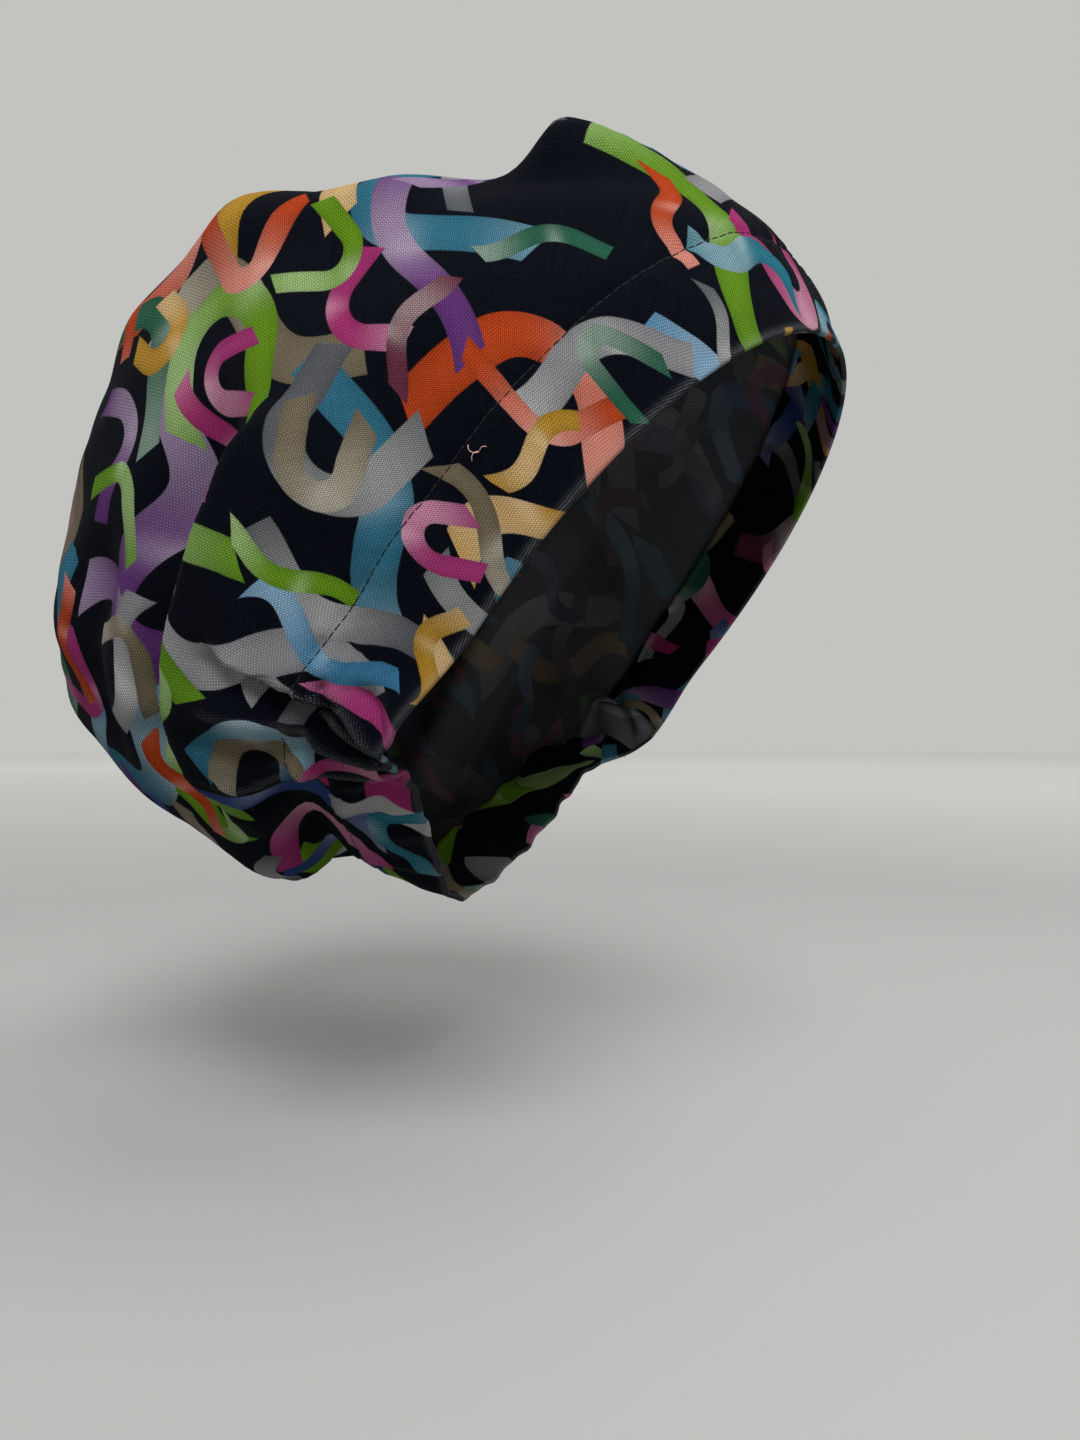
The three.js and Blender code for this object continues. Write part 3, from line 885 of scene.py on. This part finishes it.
def cloth_frame(turn_deg, share):
    """A place on the cloth, with the directions along the edge, into the bag and outwards."""
    turn = np.radians(np.array([turn_deg - 0.5, turn_deg, turn_deg + 0.5]))
    before, here, after = cloth_point(turn, np.full(3, share))
    deeper = cloth_point(turn[1:2], np.array([share + 0.01]))[0] - here
    along = unit(after - before)
    outward = unit(np.cross(deeper, along))
    return here, along, np.cross(along, outward), outward


def led_tube(place, axes, path, radius):
    """A tube along a path that is given in the directions of one place on the cloth."""
    points = place + path @ np.stack(axes)
    ups = np.repeat(axes[2][None], len(path), 0)
    return thread_tube(points, radius, ups)


def knot_tubes(turn_deg):
    place, *axes = cloth_frame(turn_deg, KNOT_SHARE)
    turn = np.linspace(0, 2 * math.pi, 61)
    loop = np.stack([np.sin(turn) + 2 * np.sin(2 * turn), np.cos(turn) - 2 * np.cos(2 * turn),
                     1.9 - np.sin(3 * turn)], 1) * KNOT_SIZE / 2.2
    tubes = [led_tube(place, axes, loop, THREAD_RADIUS)]
    for way in (-1, 1):
        run = np.linspace(0, 1, 16)
        tail = np.stack([way * run * 0.75, -run * 0.55 + 0.12 * np.sin(5 * run + way),
                         0.06 + 0.10 * np.sin(math.pi * run)], 1) * TAIL_LENGTH
        tubes.append(led_tube(place, axes, tail, THREAD_RADIUS * 0.8))
    return tubes


ear_knots = thread_piece("ear_knots", [tube for turn in KNOT_TURNS_DEG for tube in knot_tubes(turn)])
print("knots:", len(KNOT_TURNS_DEG))

# %% Loose thread
LOOSE_TURN_DEG, LOOSE_SHARE = 74.3, 0.112
LOOSE_RADIUS = 0.00008
LOOSE_LENGTH = 0.0040
LOOSE_POINTS = 20
# heading and bend in radians, share of the length
LOOSE_ENDS = [(0.3, 2.2, 1.0), (0.9, -1.8, 0.8), (2.7, 1.6, 0.55)]


def loose_tubes():
    place, *axes = cloth_frame(LOOSE_TURN_DEG, LOOSE_SHARE)
    tubes = []
    for turn, bend, length in LOOSE_ENDS:
        run = np.linspace(0, 1, LOOSE_POINTS)
        heading = turn + bend * run
        step = np.stack([np.cos(heading), np.sin(heading)], 1) * LOOSE_LENGTH * length / LOOSE_POINTS
        lift = 0.00025 + 0.0006 * np.sin(math.pi * run) * length
        tubes.append(led_tube(place, axes, np.column_stack([np.cumsum(step, 0), lift]), LOOSE_RADIUS))
    return tubes


loose_thread = thread_piece("loose_thread", loose_tubes())
print("loose thread ends:", len(LOOSE_ENDS))

# %% [markdown]
# ## The print
# Bright strips, wide arches and wavy streamers, fade from a strong colour to a pale one over a
# near-black ground. The flat cloth is divided into square cells, and each cell takes one strip whose
# turn, size, bend, colour and fading come from white noise. Several such layers of different cell
# sizes lie over each other.

# %% Strip colours
STRIP_COLOURS = [
    (0.062, 0.140, 0.007),
    (0.188, 0.016, 0.080),
    (0.012, 0.090, 0.128),
    (0.055, 0.058, 0.064),
    (0.235, 0.128, 0.015),
    (0.240, 0.029, 0.006),
    (0.013, 0.030, 0.108),
    (0.064, 0.019, 0.094),
    (0.183, 0.019, 0.087),
    (0.026, 0.106, 0.188),
    (0.012, 0.057, 0.034),
    (0.136, 0.136, 0.144),
    (0.070, 0.016, 0.029),
    (0.017, 0.082, 0.125),
    (0.067, 0.147, 0.006),
    (0.093, 0.076, 0.049),
]
PALE_LIGHT = (0.135, 0.135, 0.126, 1)
EDGE_BLUR_MM = 0.35
END_SLANT = 0.55
ARCH_SHARE = 0.48
HUE_SPREAD = 9.43
SECOND_SEED = 11.0
FULL_TURN = 2 * math.pi
print("strip colours:", len(STRIP_COLOURS))

# %% One layer of strips
def jumble(s, moved, seed):
    """Eight random numbers for the cell of each place."""
    numbers = []
    for key in (seed, s.plus(seed, SECOND_SEED)):
        inputs = {"Vector": s.vector("FLOOR", moved), "W": key}
        noise = s.node("ShaderNodeTexWhiteNoise", inputs, noise_dimensions="4D")
        numbers += [*s.parts(noise.outputs["Color"]), noise.outputs["Value"]]
    return numbers


def arch(s, x, y, pick_d, pick_e):
    """How far each place is off a wide arch with two straight legs, and how far along it."""
    side = s.math("ABSOLUTE", x)
    up = s.minus(y, s.scaled(pick_d, 0.08, 0.06))
    radius = s.scaled(pick_d, 0.13, 0.12)
    half = s.scaled(pick_e, 0.80, 0.75)
    sin, cos = s.math("SINE", half), s.math("COSINE", half)
    angle = s.math("ARCTAN2", side, up)
    leg_x = s.minus(side, s.times(radius, sin))
    leg_y = s.minus(up, s.times(radius, cos))
    leg_run = s.minus(s.times(leg_x, cos), s.times(leg_y, sin))
    leg_off = s.plus(s.times(leg_x, sin), s.times(leg_y, cos))
    from_centre = s.math("SQRT", s.plus(s.times(side, side), s.times(up, up)))
    on_leg = s.math("GREATER_THAN", angle, half)
    arc_run = s.times(radius, s.math("MINIMUM", angle, half))
    run = s.plus(arc_run, s.times(on_leg, leg_run))
    return s.blend(on_leg, s.minus(from_centre, radius), leg_off), s.times(run, s.math("SIGN", x))


def streamer(s, x, y, pick_d, pick_e, pick_f):
    """The same for a wavy streamer."""
    bend = s.scaled(pick_d, 0.09, 0.06)
    pace = s.scaled(pick_e, 3.0, 5.5)
    turn = s.scaled(x, pace, s.times(pick_f, FULL_TURN))
    slope = s.times(s.times(bend, pace), s.math("COSINE", turn))
    steep = s.math("SQRT", s.scaled(slope, slope, 1.0))
    wave = s.times(bend, s.math("SINE", turn))
    return s.math("DIVIDE", s.minus(y, wave), steep), s.times(x, 1.05)


def strip_colour(s, hue, along, across, pick_b, pick_d):
    """A strip's colour, with how it fades to a pale tint along its run and across its bend."""
    ramp = s.node("ShaderNodeValToRGB", {0: hue})
    stops = ramp.color_ramp.elements
    ramp.color_ramp.interpolation = "CONSTANT"
    for k, colour in enumerate(STRIP_COLOURS):
        stop = stops[0] if k == 0 else stops.new(k / len(STRIP_COLOURS))
        stop.position = k / len(STRIP_COLOURS)
        stop.color = (*colour, 1)
    stops.remove(stops[-1])
    fade = s.math("SINE", s.scaled(along, 2.2, s.times(pick_b, FULL_TURN)))
    fade = s.math("POWER", s.scaled(fade, 0.62, 0.24, clamp=True), 2.0)
    glint = s.minus(along, s.scaled(pick_d, 0.5, -0.25))
    glint = s.math("EXPONENT", s.times(s.times(glint, glint), -70.0))
    glint = s.times(glint, s.scaled(across, 0.30, 0.42))
    rounded = s.scaled(s.times(across, across), -0.22, 1.06)
    colour = s.tint(1.0, ramp.outputs[0], s.joined(rounded, rounded, rounded), "MULTIPLY")
    return s.tint(s.math("ADD", fade, glint, clamp=True), colour, PALE_LIGHT, "ADD")


def strip_layer():
    takes = {"Place": "Vector", "Shift": "Vector"}
    takes.update(dict.fromkeys(("Cell", "Turn", "Band", "Seed", "Share"), "Float"))
    s, given = new_group("strip_layer", takes, {"Colour": "Color", "Mask": "Float"})
    cells = {0: given["Place"], 3: s.math("DIVIDE", 1.0, given["Cell"])}
    scaled = s.node("ShaderNodeVectorMath", cells, operation="SCALE").outputs[0]
    moved = s.vector("ADD", s.turned(scaled, given["Turn"]), given["Shift"])
    inside = s.vector("SUBTRACT", s.vector("FRACTION", moved), (0.5, 0.5, 0.0))
    pick_a, pick_b, pick_c, kind, pick_d, pick_e, pick_f, printed = jumble(s, moved, given["Seed"])
    jitter = s.joined(s.scaled(pick_a, 0.16, -0.08), s.scaled(pick_b, 0.16, -0.08))
    local = s.turned(s.vector("SUBTRACT", inside, jitter), s.times(pick_c, FULL_TURN))
    x, y, _ = s.parts(local)
    arch_off, arch_run = arch(s, x, y, pick_d, pick_e)
    wave_off, wave_run = streamer(s, x, y, pick_d, pick_e, pick_f)

    # the strip of this cell, its slanted ends and its soft edge
    chosen = s.math("GREATER_THAN", kind, ARCH_SHARE)
    off = s.blend(chosen, arch_off, wave_off)
    run = s.blend(chosen, arch_run, wave_run)
    reach = s.blend(chosen, s.scaled(pick_f, 0.14, 0.46), 0.46)
    width = s.times(given["Band"], s.scaled(pick_e, 0.25, 0.85))
    length_left = s.minus(reach, s.plus(s.math("ABSOLUTE", run), s.times(off, END_SLANT)))
    width_left = s.minus(width, s.math("ABSOLUTE", off))
    sharp = s.math("DIVIDE", given["Cell"], EDGE_BLUR_MM)
    edge = s.scaled(s.math("MINIMUM", length_left, width_left), sharp, 0.5, clamp=True)
    mask = s.times(edge, s.math("LESS_THAN", printed, given["Share"]))
    hue = s.math("FRACT", s.times(s.plus(pick_a, pick_f), HUE_SPREAD))
    along, across = s.math("DIVIDE", run, reach), s.math("DIVIDE", off, width)
    return close_group(s, {"Colour": strip_colour(s, hue, along, across, pick_b, pick_d), "Mask": mask})


strips = strip_layer()

# %% All layers together
STRIP_LAYERS = [
    # cell in mm, shift in cells, turn, half the band as a share of the cell, seed, share printed
    (84, (0.13, 0.40), 0.40, 0.070, 1.3, 1.0),
    (84, (0.63, 0.90), 0.40, 0.072, 2.9, 1.0),
    (66, (0.20, 0.15), 1.25, 0.071, 4.4, 0.90),
    (66, (0.70, 0.65), 1.25, 0.071, 5.8, 0.80),
    (46, (0.35, 0.80), 2.10, 0.076, 7.7, 0.95),
    (38, (0.85, 0.30), 0.80, 0.072, 9.2, 0.60),
]
GROUND = (0.0015, 0.0022, 0.0044, 1)


def print_group():
    s, given = new_group("strip_print", {"Place": "Vector"}, {"Colour": "Color"})
    colour = GROUND
    for cell, shift, turn, band, seed, share in STRIP_LAYERS:
        inputs = {"Place": given["Place"], "Shift": (*shift, 0), "Cell": cell, "Turn": turn, "Band": band,
                  "Seed": seed, "Share": share}
        layer = s.node("ShaderNodeGroup", inputs, node_tree=strips)
        colour = s.tint(layer.outputs["Mask"], colour, layer.outputs["Colour"])
    return close_group(s, {"Colour": colour})


cloth_print = print_group()

# %% [markdown]
# ## The weave
# It is plain-weave cotton. Threads pass over and under each other like a chessboard, so the height is the
# round of the thread that lies on top in each square. The threads are uneven, and every second square looks
# a little lighter. The material paints shade into the gaps between the threads and a highlight onto their
# crowns, which is what makes printed cotton look like cotton and not like paper.

# %% Weave group
THREAD_PITCH_MM = 0.50
CHESS_CONTRAST = 0.70
THREAD_DRIFT_MM = 1.2
# how fast the yarn's light and dark change across and along the threads of each way
THREAD_WAYS = [(2.6, 0.05, 0.0), (0.05, 2.6, 0.0)]


def weave_group():
    gives = {"Height": "Float", "Yarn": "Float"}
    s, given = new_group("plain_weave", {"Place": "Vector"}, gives)
    drift = s.noise(given["Place"], 0.11, 2.0, "Color")
    bent = s.vector("MULTIPLY_ADD", drift, (THREAD_DRIFT_MM, THREAD_DRIFT_MM, 0.0), given["Place"])
    u, v, _ = s.parts(s.vector("MULTIPLY", bent, (1 / THREAD_PITCH_MM, 1 / THREAD_PITCH_MM, 0.0)))
    over = s.math("MODULO", s.plus(s.math("FLOOR", u), s.math("FLOOR", v)), 2.0)
    over = s.math("ABSOLUTE", over)
    round_u, round_v = [s.math("ABSOLUTE", s.math("SINE", s.times(w, math.pi))) for w in (u, v)]
    height = s.blend(over, round_u, round_v)
    height = s.times(height, s.blend(over, s.math("SQRT", round_v), s.math("SQRT", round_u)))
    warp, weft = [s.noise(s.vector("MULTIPLY", bent, way), 1.0, 1.0) for way in THREAD_WAYS]
    yarn = s.scaled(s.plus(warp, weft), 0.5, -CHESS_CONTRAST / 2)
    return close_group(s, {"Height": height, "Yarn": s.scaled(over, CHESS_CONTRAST, yarn)})


weave = weave_group()

# %% Cotton materials
COTTON_ROUGHNESS = 0.88
COTTON_SHEEN = 0.010
WEAVE_BUMP_MM = 0.10
WEAR_LIGHTENING = 0.28
WORN_COTTON = (0.22, 0.22, 0.23, 1)
REVERSE_SHARE, REVERSE_COTTON = 0.62, (0.115, 0.118, 0.13, 1)
LINT_FROM, LINT_SHARE, LINT = 0.83, 0.030, (0.5, 0.5, 0.5, 1)


def cotton(name, reverse):
    """Printed cotton, or its paler reverse where the print shows through weakly."""
    material, s, shader = new_material(name, Roughness=COTTON_ROUGHNESS, Specular_IOR_Level=0.01,
                                       Sheen_Weight=COTTON_SHEEN, Sheen_Roughness=0.5)
    place = s.node("ShaderNodeUVMap", {}, uv_map="flat").outputs[0]
    colour = s.node("ShaderNodeGroup", {0: place}, node_tree=cloth_print).outputs[0]
    height, yarn = s.node("ShaderNodeGroup", {0: place}, node_tree=weave).outputs
    if reverse:
        colour = s.tint(REVERSE_SHARE, colour, REVERSE_COTTON)
    # painted shade in the gaps between the threads and painted highlight on their crowns, from the weave's
    # height, times the yarn's own uneven tone and a slow random change of tone
    light = s.times(s.scaled(height, 1.15, 0.30), s.scaled(yarn, 0.6, 0.70))
    light = s.times(light, s.scaled(s.noise(place, 0.03, 3.0), 0.16, 0.92))
    colour = s.tint(1.0, colour, s.joined(light, light, light), "MULTIPLY")
    lint = s.times(s.math("SUBTRACT", yarn, LINT_FROM, clamp=True), LINT_SHARE)
    colour = s.tint(lint, colour, LINT)
    worn = s.node("ShaderNodeAttribute", {}, attribute_name="wear").outputs["Fac"]
    worn = s.times(worn, s.scaled(yarn, 1.6, -0.55, clamp=True))
    colour = s.tint(s.times(worn, WEAR_LIGHTENING), colour, WORN_COTTON)
    bump = s.node("ShaderNodeBump", {"Height": height, "Strength": 0.5, "Distance": WEAVE_BUMP_MM / 1000})
    s.tree.links.new(colour, shader.inputs["Base Color"])
    s.tree.links.new(bump.outputs[0], shader.inputs["Normal"])
    return material


right_side = cotton("printed_cotton", False)
reverse_side = cotton("printed_cotton_reverse", True)
for piece, slot in ((crown, "printed_cotton"), (facing, "facing_cotton"), (casing, "casing_cotton")):
    piece.data.materials.append(right_side)
    piece.data.materials.append(reverse_side)
print("cotton:", right_side.name, "and", reverse_side.name)

# %% Thread materials
THREADS = [
    # name, scale of its fibres, darker and lighter colour, roughness, specular, sheen, the pieces made of it
    ("black_thread", 4000.0, (0.003, 0.003, 0.004, 1), (0.010, 0.010, 0.012, 1), 0.75, 0.15, 0.02,
     (topstitch, ear_knots)),
    ("pale_thread", 3000.0, (0.42, 0.20, 0.20, 1), (0.62, 0.38, 0.36, 1), 0.70, 0.50, 0.00,
     (loose_thread,)),
]

for name, scale, darker, lighter, roughness, specular, sheen, made in THREADS:
    material, sums, shader = new_material(name, Roughness=roughness, Specular_IOR_Level=specular,
                                          Sheen_Weight=sheen)
    place = sums.node("ShaderNodeTexCoord", {}).outputs["Object"]
    colour = sums.tint(sums.noise(place, scale, 2.0), darker, lighter)
    sums.tree.links.new(colour, shader.inputs["Base Color"])
    for piece in made:
        piece.data.materials.append(material)
print("thread materials:", [row[0] for row in THREADS])
